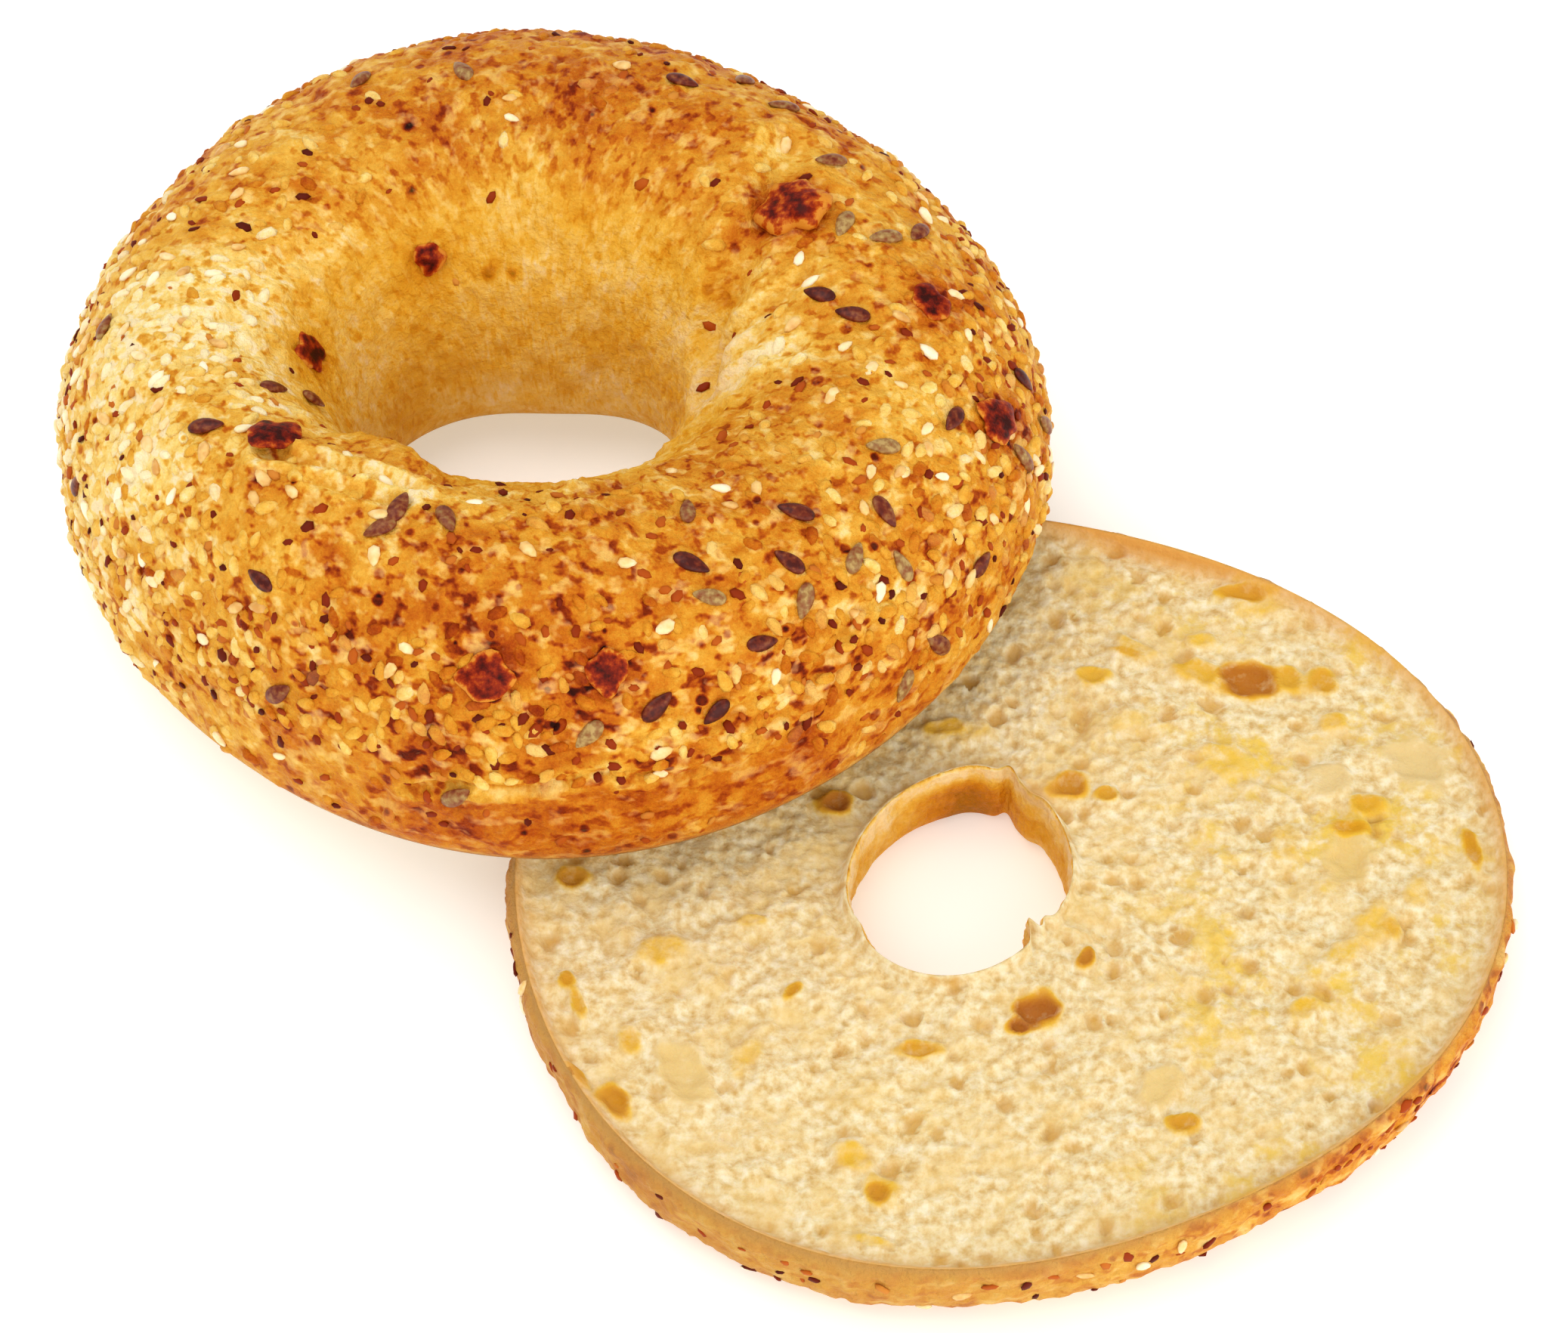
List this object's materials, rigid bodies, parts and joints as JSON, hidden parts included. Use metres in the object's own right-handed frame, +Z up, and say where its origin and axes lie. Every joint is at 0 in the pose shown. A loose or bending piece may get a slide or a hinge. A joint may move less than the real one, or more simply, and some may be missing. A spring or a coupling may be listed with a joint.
{
  "type": "sliced seeded bagel",
  "caption": "Ring-shaped bread roll cut across into two halves, the seeded crown half leaning on the flat heel half's rim.",
  "frame": {"origin": "middle of the footprint of both halves, on the surface they stand on", "axes": "+Z up, +X to the right and +Y away when the heel half lies in front on the right"},
  "size_m": [0.1792, 0.1794, 0.0503],
  "materials": {
    "toasted_crust": "satin",
    "crumb": "matte",
    "flax_seed": "satin",
    "toasted_onion": "satin",
    "sesame_seed": "satin"
  },
  "bodies": {
    "root": {"crown_half": "toasted_crust", "flax_seed_01": "flax_seed", "flax_seed_02": "flax_seed", "flax_seed_03": "flax_seed", "flax_seed_04": "flax_seed", "flax_seed_05": "flax_seed", "flax_seed_06": "flax_seed", "flax_seed_07": "flax_seed", "flax_seed_08": "flax_seed", "flax_seed_09": "flax_seed", "flax_seed_10": "flax_seed", "flax_seed_11": "flax_seed", "flax_seed_12": "flax_seed", "flax_seed_13": "flax_seed", "flax_seed_14": "flax_seed", "flax_seed_15": "flax_seed", "flax_seed_16": "flax_seed", "flax_seed_17": "flax_seed", "flax_seed_18": "flax_seed", "flax_seed_19": "flax_seed", "flax_seed_20": "flax_seed", "flax_seed_21": "flax_seed", "flax_seed_22": "flax_seed", "flax_seed_23": "flax_seed", "flax_seed_24": "flax_seed", "flax_seed_25": "flax_seed", "flax_seed_26": "flax_seed", "flax_seed_27": "flax_seed", "flax_seed_28": "flax_seed", "flax_seed_29": "flax_seed", "flax_seed_30": "flax_seed", "flax_seed_31": "flax_seed", "flax_seed_32": "flax_seed", "flax_seed_33": "flax_seed", "flax_seed_34": "flax_seed", "flax_seed_35": "flax_seed", "flax_seed_36": "flax_seed", "flax_seed_37": "flax_seed", "flax_seed_38": "flax_seed", "flax_seed_39": "flax_seed", "flax_seed_40": "flax_seed", "flax_seed_41": "flax_seed", "flax_seed_42": "flax_seed", "flax_seed_43": "flax_seed", "heel_half": "crumb", "toasted_flake_1": "toasted_onion", "toasted_flake_2": "toasted_onion", "toasted_flake_3": "toasted_onion", "toasted_flake_4": "toasted_onion", "toasted_flake_5": "toasted_onion", "toasted_flake_6": "toasted_onion", "toasted_flake_7": "toasted_onion", "toasted_flake_8": "toasted_onion"}
  },
  "joints": []
}
